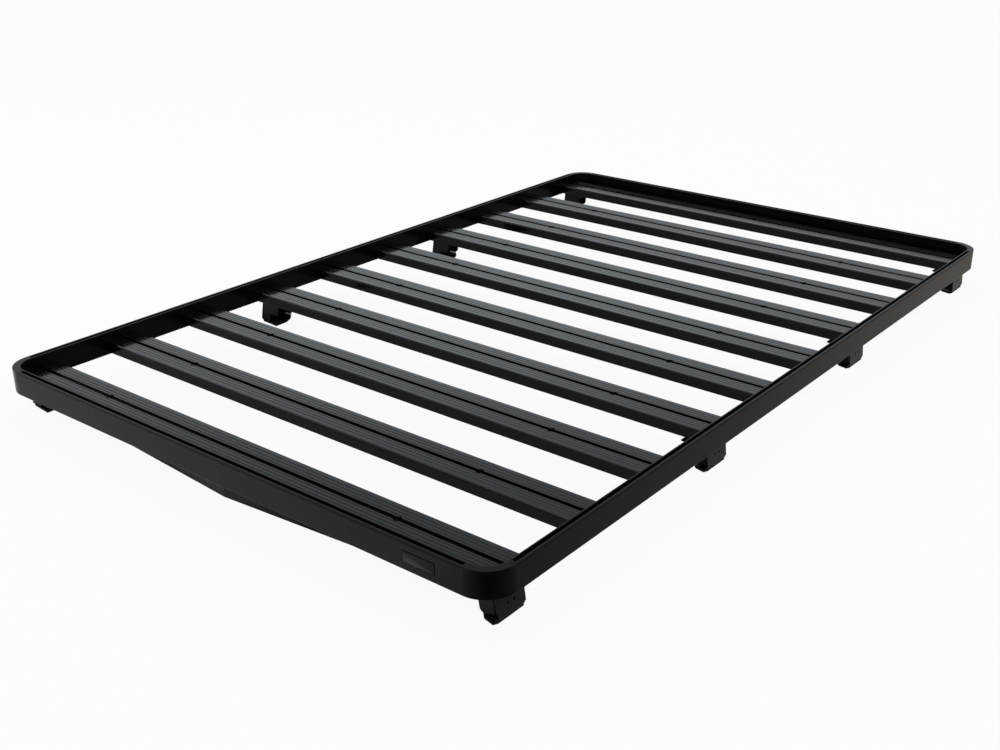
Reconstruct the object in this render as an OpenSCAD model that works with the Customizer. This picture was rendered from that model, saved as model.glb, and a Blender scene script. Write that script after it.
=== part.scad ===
/* [Rack] */
// Overall width across the vehicle
rack_w = 1255; // [900:5:1600]
// Overall length from the front rail to the rear rail
rack_l = 1964; // [1500:1:2600]
// Height of the rim above the surface the legs stand on
rack_h = 100.5; // [90:0.5:160]

/* [Rails] */
// Width of a rail, seen from above
rail_w = 16; // [14:0.5:24]
// Height of a rail
rail_h = 49; // [40:1:70]
// Thickness of a rail's outer and inner wall
rail_wall = 1.8; // [1.2:0.1:2.4]
// Width of the slot's mouth along the top of a rail
rail_slot_w = 7.5; // [5:0.5:8]
// Distance from a rail's outer face to its slot
rail_slot_in = 5.2; // [4.5:0.1:6]
// Thickness of the lips over a rail's slot
rail_lip = 2.4; // [1.6:0.1:3.5]
// Width of the undercut below the lips of a rail
rail_undercut_w = 10.6; // [9:0.2:11]
// Height of the undercut below the lips of a rail
rail_undercut_h = 7; // [5:0.5:10]
// Radius of a rail's long edges
rail_edge_r = 1.2; // [0.5:0.1:2]
// Depth of the two shadow lines along a rail's outer face
rail_line_d = 1.1; // [0.3:0.1:1.2]
// Height of each shadow line
rail_line_h = 1.8; // [0.8:0.1:2.5]
// Distance from the rim down to the upper shadow line
rail_line_top = 2.8; // [2:0.1:6]
// Distance from the rail's bottom up to the lower shadow line
rail_line_low = 8; // [5:0.5:14]

/* [Plate seat] */
// Width of the shallow seat for a plate on the front rail's outer face
seat_w = 67; // [40:1:120]
// Height of the plate's seat
seat_h = 22; // [10:1:30]
// Depth of the plate's seat
seat_d = 0.7; // [0.4:0.1:1]
// Distance from the rack's right side to the plate's seat
seat_side = 108.5; // [70:0.5:300]
// Distance from the rim down to the plate's seat
seat_top = 14; // [11:0.5:20]

/* [Corners] */
// Outer radius of a corner, seen from above
corner_r = 57; // [45:1:75]
// Length of a corner along each rail
corner_leg = 60; // [58:1:90]
// Length of the spigot that plugs into a rail
spigot_l = 32; // [15:1:60]
// Gap round a spigot inside its rail
spigot_gap = 0.3; // [0.1:0.05:0.6]

/* [Slats] */
// Width of a slat from front to rear
slat_w = 78; // [60:1:100]
// Height of a slat
slat_h = 23; // [20:0.5:26]
// Distance from the rim down to the slats' top
slat_drop = 23; // [12:0.5:24]
// Distance from the rack's end to the middle of the end slat
slat_inset = 73; // [66:1:110]
// Wall thickness of a slat
slat_wall = 2; // [1.4:0.1:2.6]
// Width of a slat slot's mouth
slat_slot_w = 9.5; // [6:0.5:10]
// Thickness of the lips over a slat's slots
slat_lip = 2.4; // [1.8:0.1:3]
// Width of the undercut below the lips of a slat
slat_undercut_w = 15; // [12:0.5:18]
// Height of the undercut below the lips of a slat
slat_undercut_h = 6; // [4:0.5:7]
// Radius of a slat's upper edges
slat_edge_r = 3; // [1:0.5:5]
// Radius of a slat's lower edges
slat_foot_r = 1; // [0.5:0.1:2]
// Distance between the fine grooves on a slat's top
groove_pitch = 5.4; // [4:0.1:8]
// Width of a fine groove
groove_w = 1.2; // [0.6:0.1:2]
// Depth of a fine groove
groove_d = 0.6; // [0.3:0.05:1]
// Radius of the round openings that let a bolt head into a slot
entry_r = 7.5; // [6.5:0.1:7.5]
// Distance between the two round openings of a slat
entry_spacing = 751; // [400:1:800]

/* [Legs] */
// Thickness of the legs' steel sheet
leg_t = 3; // [2:0.5:4]
// Gap between a leg's outer plate and its rail
leg_gap = 2; // [1:0.5:6]
// Outer radius of the folds between a leg's outer plate, base and top flange
leg_fold_r = 4; // [3.5:0.5:6]
// Distance from the slat's middle to a leg's narrow end, at its top
leg_narrow_end = 45.5; // [42:0.5:60]
// Distance from the slat's middle to a leg's wide end, at its low edge
leg_wide_end = 28.5; // [26:0.5:45]
// How far both ends of a leg lean towards the narrow end, from low edge to top
leg_lean = 7.5; // [1:0.5:12]
// Height above the surface at which a leg's end flanges stop
flange_low_z = 8; // [7:0.5:14]
// Slit between an end flange and the outer plate
flange_slit = 2.5; // [1:0.5:4]
// Reach of the narrow end's flange
narrow_reach = 35; // [20:1:50]
// Reach of the wide end's flange below its step
wide_reach = 29; // [20:1:50]
// Reach of the wide end's flange above its step
wide_top_reach = 53; // [40:1:54]
// Height of the wide end's flange above its step
wide_top_h = 26; // [10:1:32]
// Reach of a leg's top flange under the slat
leg_top_reach = 55; // [53:1:80]
// Reach of a leg's base
leg_base_reach = 51; // [40:1:54]
// Reach of the base at the leg's narrow end
leg_base_narrow = 25; // [24:1:36]
// Height of the packing between a leg's top flange and the slat
leg_seat_h = 3; // [1:0.5:8]
// Length of the packing along the slat
leg_seat_l = 40; // [20:1:44]
// Width of the packing
leg_seat_w = 34; // [16:1:50]
// Radius of the fixing holes in a leg's base
leg_hole_r = 4.5; // [3:0.1:6]
// Distance between a base's two fixing holes
leg_hole_spacing = 40; // [30:1:46]
// Distance from a leg's outer face to its fixing holes
leg_hole_in = 17; // [15:0.5:20]
// Radius of the two small holes in a leg's outer plate
side_hole_r = 2.5; // [1.5:0.1:4]
// Distance between the two small holes
side_hole_spacing = 14; // [9:0.5:16]
// Height of the small holes above the surface
side_hole_z = 26.5; // [16:0.5:30]
// Thickness of the rubber pad under a leg
pad_t = 2.5; // [1:0.5:6]
// Distance that a pad stays inside its base's outline
pad_in = 1; // [0.5:0.1:3]

/* [Wind deflector] */
// Gap between each end of the deflector and the front leg beside it
deflector_leg_gap = 34.5; // [6:0.5:150]
// Thickness of the deflector's sheet
deflector_t = 2; // [1:0.5:3]
// Height of the deflector's lower edge above the surface
deflector_z = 6.5; // [2:0.5:20]
// Distance from the rack's front face back to the deflector's nose
deflector_in = 30; // [20:1:34]
// Distance that each half of the deflector falls back to its end
deflector_sweep = 39; // [10:1:45]
// Distance that the deflector's flange passes the end slat's middle
deflector_grip = 12; // [8:1:30]

/* [Hidden] */

$fn = 64;

// Extra length that carries a cut clear through a face
over = 1;

// The slats stand at one pitch between the two end slats
slat_count = 10;
slat_pitch = (rack_l - 2 * slat_inset) / (slat_count - 1);
// Every third slat stands on a pair of legs
leg_every = 3;

rail_z = rack_h - rail_h;
rail_bridge = 2;
rail_undercut_in = rail_slot_in + (rail_slot_w - rail_undercut_w) / 2;
rail_chamber_w = rail_w - 2 * rail_wall;
rail_chamber_h = rail_h - rail_lip - rail_undercut_h - rail_bridge - rail_wall;

slat_z = rack_h - slat_drop - slat_h;
slat_len = rack_w - 2 * rail_w;
slat_core_w = slat_undercut_w + 2 * slat_wall;
slat_chamber_w = slat_w / 2 - slat_wall - slat_core_w / 2;
slat_chamber_h = slat_h - 2 * slat_wall;
// The groove nearest a slot starts one groove pitch past its mouth
groove_first = slat_slot_w / 2 + groove_pitch;
groove_count = floor((slat_w / 2 - slat_edge_r - groove_first) / groove_pitch) + 1;
// Room left between an end slat and the inside of a corner
corner_gap = 0.3;

leg_x = rack_w / 2 - rail_w - leg_gap;
leg_top_z = slat_z - leg_seat_h;
leg_base_top = pad_t + leg_t;
// Radius of the lower inner corner of the narrow end's flange
narrow_corner_r = 9;
// How far the base stops short of the wide end's low edge
base_wide_short = 3;
base_wide_end = leg_wide_end - base_wide_short;
// The outer plate's narrow end at its low edge
plate_narrow_low = leg_narrow_end - leg_lean;
// The base's narrow edge starts a little way in, and slants towards the plate's end
base_nose_in = 4;
base_nose_out = 8;
base_narrow_out = 3.5;
// The shoulder between the base's narrow edge and its full reach
base_shoulder_in = 9;
base_shoulder_y = -24;
// How far the base's wide edge slants outwards along its reach
base_wide_slant = 4.5;
// The two small holes stand off the slat's middle, towards the narrow end
side_hole_off = 1;
side_hole_y = -(side_hole_spacing / 2 + side_hole_off);
// Distance from the packing to the tip of the top flange
packing_in = 4;
// How far before the slat's middle the base reaches its full width
base_slope_end = 4;
// Room round a fixing hole in the rubber pad
pad_hole_room = 1.5;
pad_hole_r = leg_hole_r + pad_hole_room;

deflector_w = 2 * (leg_x - leg_top_reach - deflector_leg_gap);
deflector_top = slat_z;
deflector_nose_y = -rack_l / 2 + deflector_in;
deflector_rear_y = -rack_l / 2 + slat_inset + deflector_grip;

// Rectangle from the origin with rounded lower and upper corners
module rounded_section(w, h, r_low, r_high) {
    translate([r_low, 0]) square([w - 2 * r_low, h / 2]);
    translate([r_high, h / 2]) square([w - 2 * r_high, h / 2]);
    translate([0, r_low]) square([w, h - r_low - r_high]);
    for (x = [r_low, w - r_low]) translate([x, r_low]) circle(r_low);
    for (x = [r_high, w - r_high]) translate([x, h - r_high]) circle(r_high);
}

// A slot open at the height h: a narrow mouth over a wider undercut
module tee_slot(middle, h, mouth, lip, under_w, under_h) {
    translate([middle - mouth / 2, h - lip - over]) square([mouth, lip + 2 * over]);
    translate([middle - under_w / 2, h - lip - under_h]) square([under_w, under_h]);
}

// Cross-section of a rail, with its outer face at x = 0
module rail_section() {
    difference() {
        rounded_section(rail_w, rail_h, rail_edge_r, rail_edge_r);
        tee_slot(rail_slot_in + rail_slot_w / 2, rail_h,
                 rail_slot_w, rail_lip, rail_undercut_w, rail_undercut_h);
        translate([rail_wall, rail_wall]) square([rail_chamber_w, rail_chamber_h]);
        for (z = [rail_line_low, rail_h - rail_line_top - rail_line_h])
            translate([-over, z]) square([rail_line_d + over, rail_line_h]);
    }
}

// A straight rail on the front side, its outer face at a distance from the middle
module rail_bar(length, reach) {
    translate([-length / 2, -reach, rail_z])
        rotate([90, 0, 90]) linear_extrude(length) rail_section();
}

module cross_rail() {
    color("#2b2c2e") rail_bar(rack_w - 2 * corner_leg, rack_l / 2);
}

module side_rail() {
    color("#2b2c2e") rail_bar(rack_l - 2 * corner_leg, rack_w / 2);
}

module front_rail() {
    difference() {
        cross_rail();
        plate_seat();
    }
}
module rear_rail() { rotate([0, 0, 180]) cross_rail(); }
module right_rail() { rotate([0, 0, 90]) side_rail(); }
module left_rail() { rotate([0, 0, -90]) side_rail(); }

// The shallow seat for a plate, cut into the front rail's outer face
module plate_seat() {
    translate([rack_w / 2 - seat_side - seat_w, -rack_l / 2 - over, rack_h - seat_top - seat_h])
        cube([seat_w, seat_d + over, seat_h]);
}

// A spigot along +X that plugs into a rail whose outer face is at y = 0
module spigot() {
    translate([0, rail_wall + spigot_gap, rail_wall + spigot_gap])
        cube([spigot_l, rail_chamber_w - 2 * spigot_gap, rail_chamber_h - 2 * spigot_gap]);
}

// A corner in the front left, its outer faces at x = 0 and y = 0
module corner_block() {
    translate([corner_r, corner_r]) rotate([0, 0, 180]) rotate_extrude(angle = 90)
        translate([corner_r - rail_w, 0])
            rounded_section(rail_w, rail_h, rail_edge_r, rail_edge_r);
    translate([corner_r, 0]) corner_end();
    mirror([1, -1, 0]) translate([corner_r, 0]) corner_end();
}

// The straight end of a corner, with its spigot
module corner_end() {
    end_l = corner_leg - corner_r;
    rotate([90, 0, 90]) linear_extrude(end_l)
        rounded_section(rail_w, rail_h, rail_edge_r, rail_edge_r);
    translate([end_l, 0]) spigot();
}

module front_left_corner() {
    color("#333436") translate([-rack_w / 2, -rack_l / 2, rail_z]) corner_block();
}
module front_right_corner() { mirror([1, 0, 0]) front_left_corner(); }
module rear_left_corner() { mirror([0, 1, 0]) front_left_corner(); }
module rear_right_corner() { mirror([1, 0, 0]) rear_left_corner(); }

// Cross-section of a slat about its middle, with its bottom at y = 0
module slat_section() {
    difference() {
        translate([-slat_w / 2, 0])
            rounded_section(slat_w, slat_h, slat_foot_r, slat_edge_r);
        tee_slot(0, slat_h, slat_slot_w, slat_lip, slat_undercut_w, slat_undercut_h);
        mirror([0, 1]) tee_slot(0, 0, slat_slot_w, slat_lip, slat_undercut_w, slat_undercut_h);
        for (side = [-1, 1]) {
            translate([side * (slat_core_w + slat_chamber_w) / 2 - slat_chamber_w / 2, slat_wall])
                square([slat_chamber_w, slat_chamber_h]);
            for (i = [0 : groove_count - 1])
                translate([side * (groove_first + i * groove_pitch) - groove_w / 2,
                           slat_h - groove_d])
                    square([groove_w, groove_d + over]);
        }
    }
}

// One slat at its place, counted from 1 at the front
module slat(number) {
    y = slat_y(number);
    color("#3a3d41") difference() {
        translate([-slat_len / 2, y, slat_z])
            rotate([90, 0, 90]) linear_extrude(slat_len) slat_section();
        for (side = [-1, 1])
            translate([side * entry_spacing / 2, y, slat_z + slat_h - slat_lip - over])
                cylinder(r = entry_r, h = slat_lip + 2 * over);
        if (number == 1 || number == slat_count) corner_room(number == 1 ? -1 : 1);
    }
}

function slat_y(number) = -rack_l / 2 + slat_inset + (number - 1) * slat_pitch;

// What the two corners of one end take from that end's slat
module corner_room(end) {
    inner_r = corner_r - rail_w - corner_gap;
    for (side = [-1, 1])
        translate([side * (rack_w / 2 - corner_r), end * (rack_l / 2 - corner_r), slat_z - over])
            difference() {
                mirror([side < 0 ? 1 : 0, 0, 0]) mirror([0, end < 0 ? 1 : 0, 0])
                    cube([corner_r, corner_r, slat_h + 2 * over]);
                cylinder(r = inner_r, h = slat_h + 2 * over);
            }
}

// Outline of a leg's base: x runs from the outer plate inwards, y to the wide end
module base_outline(inset) {
    polygon([
        [inset, inset - plate_narrow_low],
        [base_nose_in + inset, inset - plate_narrow_low - base_nose_out],
        [leg_base_narrow - inset, inset - plate_narrow_low - base_narrow_out],
        [leg_base_reach - base_shoulder_in - inset, inset + base_shoulder_y],
        [leg_base_reach - inset, inset - base_slope_end],
        [leg_base_reach - inset, base_wide_end + base_wide_slant - inset],
        [inset, base_wide_end - inset],
    ]);
}

// Centres of the fixing holes of a base
module at_fixing_holes() {
    middle = (base_wide_end - plate_narrow_low) / 2;
    for (side = [-1, 1])
        translate([leg_hole_in, middle + side * leg_hole_spacing / 2]) children();
}

// Carries a section in x and z along y, over a range that passes both ends of a leg
module along_leg() {
    translate([0, leg_wide_end + leg_narrow_end, 0])
        rotate([90, 0, 0]) linear_extrude(2 * (leg_wide_end + leg_narrow_end)) children();
}

// Carries an outline in y and z along x, from one reach to another
module across_leg(from, to) {
    translate([from, 0, 0]) rotate([90, 0, 90]) linear_extrude(to - from) children();
}

// Rectangle from the origin with one corner at x = 0 rounded, inside and outside of a fold
module fold_corner(w, h, r) {
    translate([r, 0]) square([w - r, h]);
    translate([0, r]) square([r, h - r]);
    translate([r, r]) circle(r);
}

// Cross-section of a fold at the origin: one flange up, one flange inwards
module fold_section(reach, height) {
    difference() {
        fold_corner(reach, height, leg_fold_r);
        translate([leg_t, leg_t]) fold_corner(reach, height, leg_fold_r - leg_t);
    }
}

// Side view of a leg's outer plate and top flange, with both ends leaning
module plate_side() {
    polygon([
        [-plate_narrow_low, pad_t],
        [base_wide_end, pad_t],
        [base_wide_end, flange_low_z],
        [leg_wide_end, flange_low_z],
        [leg_wide_end - leg_lean, leg_top_z],
        [-leg_narrow_end, leg_top_z],
        [-plate_narrow_low, flange_low_z],
    ]);
}

// Side view of an end flange: a leaning strip from its low edge's y
module flange_side(low_y) {
    tilt = atan(leg_lean / (leg_top_z - flange_low_z));
    strip = leg_t / cos(tilt);
    polygon([
        [low_y, flange_low_z],
        [low_y + strip, flange_low_z],
        [low_y + strip - leg_lean, leg_top_z],
        [low_y - leg_lean, leg_top_z],
    ]);
}

// Front view of the narrow end's flange, with its lower inner corner rounded
module narrow_front() {
    start = leg_t + flange_slit;
    r = narrow_corner_r;
    translate([start, flange_low_z + r]) square([narrow_reach - start, leg_top_z - flange_low_z - r]);
    translate([start, flange_low_z]) square([narrow_reach - start - r, r]);
    translate([narrow_reach - r, flange_low_z + r]) circle(r);
}

// Front view of the wide end's flange: narrow below its step, wider above it
module wide_front() {
    start = leg_t + flange_slit;
    translate([start, flange_low_z]) square([wide_reach - start, leg_top_z - flange_low_z]);
    translate([start, leg_top_z - wide_top_h]) square([wide_top_reach - start, wide_top_h]);
}

// A folded leg in local axes: x inwards from the outer face, z up from the surface
module folded_leg() {
    difference() {
        intersection() {
            translate([0, 0, leg_top_z]) mirror([0, 0, 1])
                along_leg() fold_section(leg_top_reach, leg_top_z - pad_t - leg_fold_r);
            across_leg(-over, leg_top_reach + over) plate_side();
        }
        for (side = [-1, 1])
            translate([-over, side_hole_y + side * side_hole_spacing / 2, side_hole_z])
                rotate([0, 90, 0]) cylinder(r = side_hole_r, h = leg_t + 2 * over);
    }
    difference() {
        intersection() {
            translate([0, 0, pad_t]) along_leg() fold_section(leg_top_reach, flange_low_z - pad_t);
            linear_extrude(leg_top_z) base_outline(0);
        }
        translate([0, 0, pad_t - over]) at_fixing_holes() cylinder(r = leg_hole_r, h = leg_t + 2 * over);
    }
    intersection() {
        across_leg(leg_t, leg_top_reach) flange_side(-plate_narrow_low);
        along_leg() narrow_front();
    }
    intersection() {
        across_leg(leg_t, leg_top_reach) flange_side(leg_wide_end - leg_t);
        along_leg() wide_front();
    }
    translate([leg_top_reach - leg_seat_l - packing_in, -leg_seat_w / 2, leg_top_z])
        cube([leg_seat_l, leg_seat_w, leg_seat_h]);
}

// A rubber pad in the same local axes
module pad_shape() {
    difference() {
        linear_extrude(pad_t) base_outline(pad_in);
        translate([0, 0, -over]) at_fixing_holes() cylinder(r = pad_hole_r, h = pad_t + 2 * over);
    }
}

// Carries a local leg shape to its slat; both sides use one shape, turned half round
module at_leg(side, number) {
    y = slat_y(1 + (number - 1) * leg_every);
    translate([0, y, 0]) rotate([0, 0, side > 0 ? 0 : 180])
        translate([leg_x, 0, 0]) mirror([1, 0, 0]) children();
}

module leg(side, number) { color("#26272a") at_leg(side, number) folded_leg(); }
module pad(side, number) { color("#151515") at_leg(side, number) pad_shape(); }

// Front edge of the deflector in plan, moved back by a distance
function deflector_edge(back) = [
    [-deflector_w / 2, deflector_nose_y + deflector_sweep + back],
    [0, deflector_nose_y + back],
    [deflector_w / 2, deflector_nose_y + deflector_sweep + back],
];

// Folded sheet: two swept halves hang from one flange under the first slat
module wind_deflector() {
    color("#2e2f31") {
        face_back = deflector_edge(deflector_t);
        translate([0, 0, deflector_z]) linear_extrude(deflector_top - deflector_z)
            polygon(concat(deflector_edge(0), [face_back[2], face_back[1], face_back[0]]));
        translate([0, 0, deflector_top - deflector_t]) linear_extrude(deflector_t)
            polygon(concat(deflector_edge(0), [[deflector_w / 2, deflector_rear_y],
                                               [-deflector_w / 2, deflector_rear_y]]));
    }
}

front_rail();
rear_rail();
left_rail();
right_rail();
front_left_corner();
front_right_corner();
rear_left_corner();
rear_right_corner();
slat(1);  // slat_01
slat(2);  // slat_02
slat(3);  // slat_03
slat(4);  // slat_04
slat(5);  // slat_05
slat(6);  // slat_06
slat(7);  // slat_07
slat(8);  // slat_08
slat(9);  // slat_09
slat(10);  // slat_10
leg(-1, 1);  // left_leg_1
leg(-1, 2);  // left_leg_2
leg(-1, 3);  // left_leg_3
leg(-1, 4);  // left_leg_4
leg(1, 1);  // right_leg_1
leg(1, 2);  // right_leg_2
leg(1, 3);  // right_leg_3
leg(1, 4);  // right_leg_4
pad(-1, 1);  // left_pad_1
pad(-1, 2);  // left_pad_2
pad(-1, 3);  // left_pad_3
pad(-1, 4);  // left_pad_4
pad(1, 1);  // right_pad_1
pad(1, 2);  // right_pad_2
pad(1, 3);  // right_pad_3
pad(1, 4);  // right_pad_4
wind_deflector();
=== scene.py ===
"""Looks, studio and camera for a flat platform roof rack.

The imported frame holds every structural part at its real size. This script gives each
part its finish, replaces the rails and the slats by bars with the fine lines and grooves
of the real ones, adds the small fasteners and the bare plate on the front rail, and sets
up a pale studio. The rack's sizes are in millimetres. Meshes, textures and the studio are
in metres, in the frame's own axes.
"""

import logging
import math
from dataclasses import dataclass, field, replace
from enum import Enum

import bmesh
import bpy
from mathutils import Matrix, Vector
from mathutils.geometry import tessellate_polygon

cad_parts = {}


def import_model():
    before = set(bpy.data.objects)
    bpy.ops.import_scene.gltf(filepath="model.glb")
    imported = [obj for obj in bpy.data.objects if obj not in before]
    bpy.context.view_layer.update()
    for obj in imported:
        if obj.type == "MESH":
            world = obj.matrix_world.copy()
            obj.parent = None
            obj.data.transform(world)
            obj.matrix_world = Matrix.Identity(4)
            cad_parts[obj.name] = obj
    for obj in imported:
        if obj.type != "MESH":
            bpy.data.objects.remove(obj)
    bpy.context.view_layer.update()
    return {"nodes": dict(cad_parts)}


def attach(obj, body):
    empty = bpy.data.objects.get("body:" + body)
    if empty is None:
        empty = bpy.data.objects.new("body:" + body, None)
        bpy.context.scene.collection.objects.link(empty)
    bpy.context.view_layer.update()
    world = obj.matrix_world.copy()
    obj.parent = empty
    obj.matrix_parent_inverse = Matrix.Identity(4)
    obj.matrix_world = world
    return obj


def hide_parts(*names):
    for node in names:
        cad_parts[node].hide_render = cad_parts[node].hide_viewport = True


LOG = logging.getLogger("roof_rack")

MM = 0.001
BODY = "root"
WELD = 0.000001
BAR_SMOOTH_DEG = 30.0
BAR_FACE_WEIGHT = 100
FASTENER_SMOOTH_DEG = 40.0
PLATE_SMOOTH_DEG = 60.0
NODE_SPACING = 180
MIX_FLOATS = (2, 3)
MIX_COLOURS = (6, 7)
MIX_COLOUR_OUT = 2
WHITE = (1.0, 1.0, 1.0, 1.0)

Colour = tuple[float, float, float]
Outline = list[tuple[float, float]]


class Family(Enum):
    """The kinds of part in the frame, each with one finish."""

    RAIL = "rail_coating"
    CORNER = "corner_coating"
    SLAT = "slat_coating"
    LEG = "leg_coating"
    PAD = "pad_rubber"
    DEFLECTOR = "deflector_coating"


class Along(Enum):
    """The way an extruded part runs, as the scales of its die lines on each axis."""

    ACROSS = (1.5, 420.0, 420.0)
    LENGTHWISE = (420.0, 1.5, 420.0)
    NONE = (60.0, 60.0, 60.0)


@dataclass(frozen=True)
class RackSizes:
    """Sizes that the added pieces share with the frame, in millimetres."""

    width: float = 1255.0
    length: float = 1964.0
    height: float = 100.5
    rail_width: float = 16.0
    corner_radius: float = 57.0
    slat_bottom: float = 54.5
    slat_inset: float = 73.0
    slat_count: int = 10
    leg_every: int = 3
    leg_rows: int = 4
    leg_gap: float = 2.0
    leg_seat_height: float = 3.0
    leg_sheet: float = 3.0
    deflector_sheet: float = 2.0

    def slat_y(self, number: int) -> float:
        """Middle of a slat.

        Args:
            number: The slat, counted from 1 at the front.

        Returns:
            Its y, in millimetres.
        """
        pitch = (self.length - 2 * self.slat_inset) / (self.slat_count - 1)
        return -self.length / 2 + self.slat_inset + (number - 1) * pitch

    def leg_face(self) -> float:
        """Distance from the middle plane to a leg's outer face.

        Returns:
            The distance, in millimetres.
        """
        return self.width / 2 - self.rail_width - self.leg_gap


class NodeTree:
    """A thin wrapper that adds and joins shader nodes in one tree."""

    def __init__(self, tree: bpy.types.NodeTree) -> None:
        """Takes the tree to build in.

        Args:
            tree: A material's, a world's or a group's node tree.
        """
        self.tree = tree
        self.column = 0

    def add(self, kind: str, **settings: object) -> bpy.types.Node:
        """Adds one node.

        Args:
            kind: Blender's name for the node type.
            settings: Attributes to set on the node.

        Returns:
            The new node.
        """
        node = self.tree.nodes.new(kind)
        node.location = (self.column * NODE_SPACING, 0)
        self.column += 1
        for name, value in settings.items():
            setattr(node, name, value)
        return node

    def join(self, source: bpy.types.NodeSocket, target: bpy.types.NodeSocket) -> None:
        """Links two sockets.

        Args:
            source: The output socket.
            target: The input socket.
        """
        self.tree.links.new(source, target)

    def feed(self, socket: bpy.types.NodeSocket, value: object) -> None:
        """Gives an input its value, by a link where the value is a socket.

        Args:
            socket: The input socket.
            value: A socket, a number or a colour.
        """
        if isinstance(value, bpy.types.NodeSocket):
            self.join(value, socket)
        else:
            socket.default_value = value

    def math(self, operation: str, a: object, b: object = 0.0) -> bpy.types.NodeSocket:
        """Adds a math node.

        Args:
            operation: The math node's operation.
            a: First value or socket.
            b: Second value or socket.

        Returns:
            The result's socket.
        """
        node = self.add("ShaderNodeMath", operation=operation)
        self.feed(node.inputs[0], a)
        self.feed(node.inputs[1], b)
        return node.outputs[0]

    def span(self, value: object, low: float, high: float, to_low: float = 0.0,
             to_high: float = 1.0) -> bpy.types.NodeSocket:
        """Maps one range of values to another, clamped.

        Args:
            value: The socket to map.
            low: Start of the source range.
            high: End of the source range.
            to_low: What the start becomes.
            to_high: What the end becomes.

        Returns:
            The mapped value's socket.
        """
        node = self.add("ShaderNodeMapRange")
        for index, item in enumerate((value, low, high, to_low, to_high)):
            self.feed(node.inputs[index], item)
        return node.outputs[0]

    def swing(self, value: object, middle: float, spread: float) -> bpy.types.NodeSocket:
        """Turns a value from 0 to 1 into one that swings about a middle.

        Args:
            value: The socket to turn.
            middle: What a value of one half becomes.
            spread: How far 0 and 1 come to lie from the middle.

        Returns:
            The result's socket.
        """
        return self.span(value, 0.0, 1.0, middle - spread, middle + spread)

    def dot(self, vector: bpy.types.NodeSocket, way: object) -> bpy.types.NodeSocket:
        """Measures how far a vector points one way.

        Args:
            vector: The vector's socket.
            way: The direction to measure along, of length 1, or its socket.

        Returns:
            The result's socket.
        """
        node = self.add("ShaderNodeVectorMath", operation="DOT_PRODUCT")
        self.join(vector, node.inputs[0])
        self.feed(node.inputs[1], way)
        return node.outputs["Value"]

    def noise(self, place: bpy.types.NodeSocket, scale: object, detail: float
              ) -> bpy.types.NodeSocket:
        """Adds a noise texture.

        Args:
            place: The socket of the places that it is read at.
            scale: Its scale, or the scale's socket.
            detail: How many finer layers it has.

        Returns:
            The noise's socket, from 0 to 1.
        """
        node = self.add("ShaderNodeTexNoise", noise_dimensions="3D")
        self.join(place, node.inputs["Vector"])
        self.feed(node.inputs["Scale"], scale)
        node.inputs["Detail"].default_value = detail
        return node.outputs[0]

    def bump(self, height: bpy.types.NodeSocket, depth: float,
             normal: bpy.types.NodeSocket | None = None) -> bpy.types.NodeSocket:
        """Adds a bump node.

        Args:
            height: The height's socket.
            depth: What a height of 1 stands for, in metres.
            normal: The normal that it starts from, where that isn't the face's own.

        Returns:
            The new normal's socket.
        """
        node = self.add("ShaderNodeBump")
        node.inputs["Distance"].default_value = depth
        self.join(height, node.inputs["Height"])
        if normal is not None:
            self.join(normal, node.inputs["Normal"])
        return node.outputs[0]

    def mix_colour(self, share: object, a: object, b: object) -> bpy.types.NodeSocket:
        """Mixes two colours.

        Args:
            share: How much of the second colour shows, from 0 to 1.
            a: First colour or socket.
            b: Second colour or socket.

        Returns:
            The mixed colour's socket.
        """
        node = self.add("ShaderNodeMix", data_type="RGBA")
        self.feed(node.inputs[0], share)
        for index, colour in zip(MIX_COLOURS, (a, b)):
            self.feed(node.inputs[index], colour)
        return node.outputs[MIX_COLOUR_OUT]

    def mix_shader(self, share: bpy.types.NodeSocket, a: bpy.types.Node, b: bpy.types.Node
                   ) -> bpy.types.Node:
        """Mixes two shaders.

        Args:
            share: How much of the second shader shows, from 0 to 1.
            a: First shader.
            b: Second shader.

        Returns:
            The node of the mixed shader.
        """
        node = self.add("ShaderNodeMixShader")
        for index, source in enumerate((share, a.outputs[0], b.outputs[0])):
            self.join(source, node.inputs[index])
        return node


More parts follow.
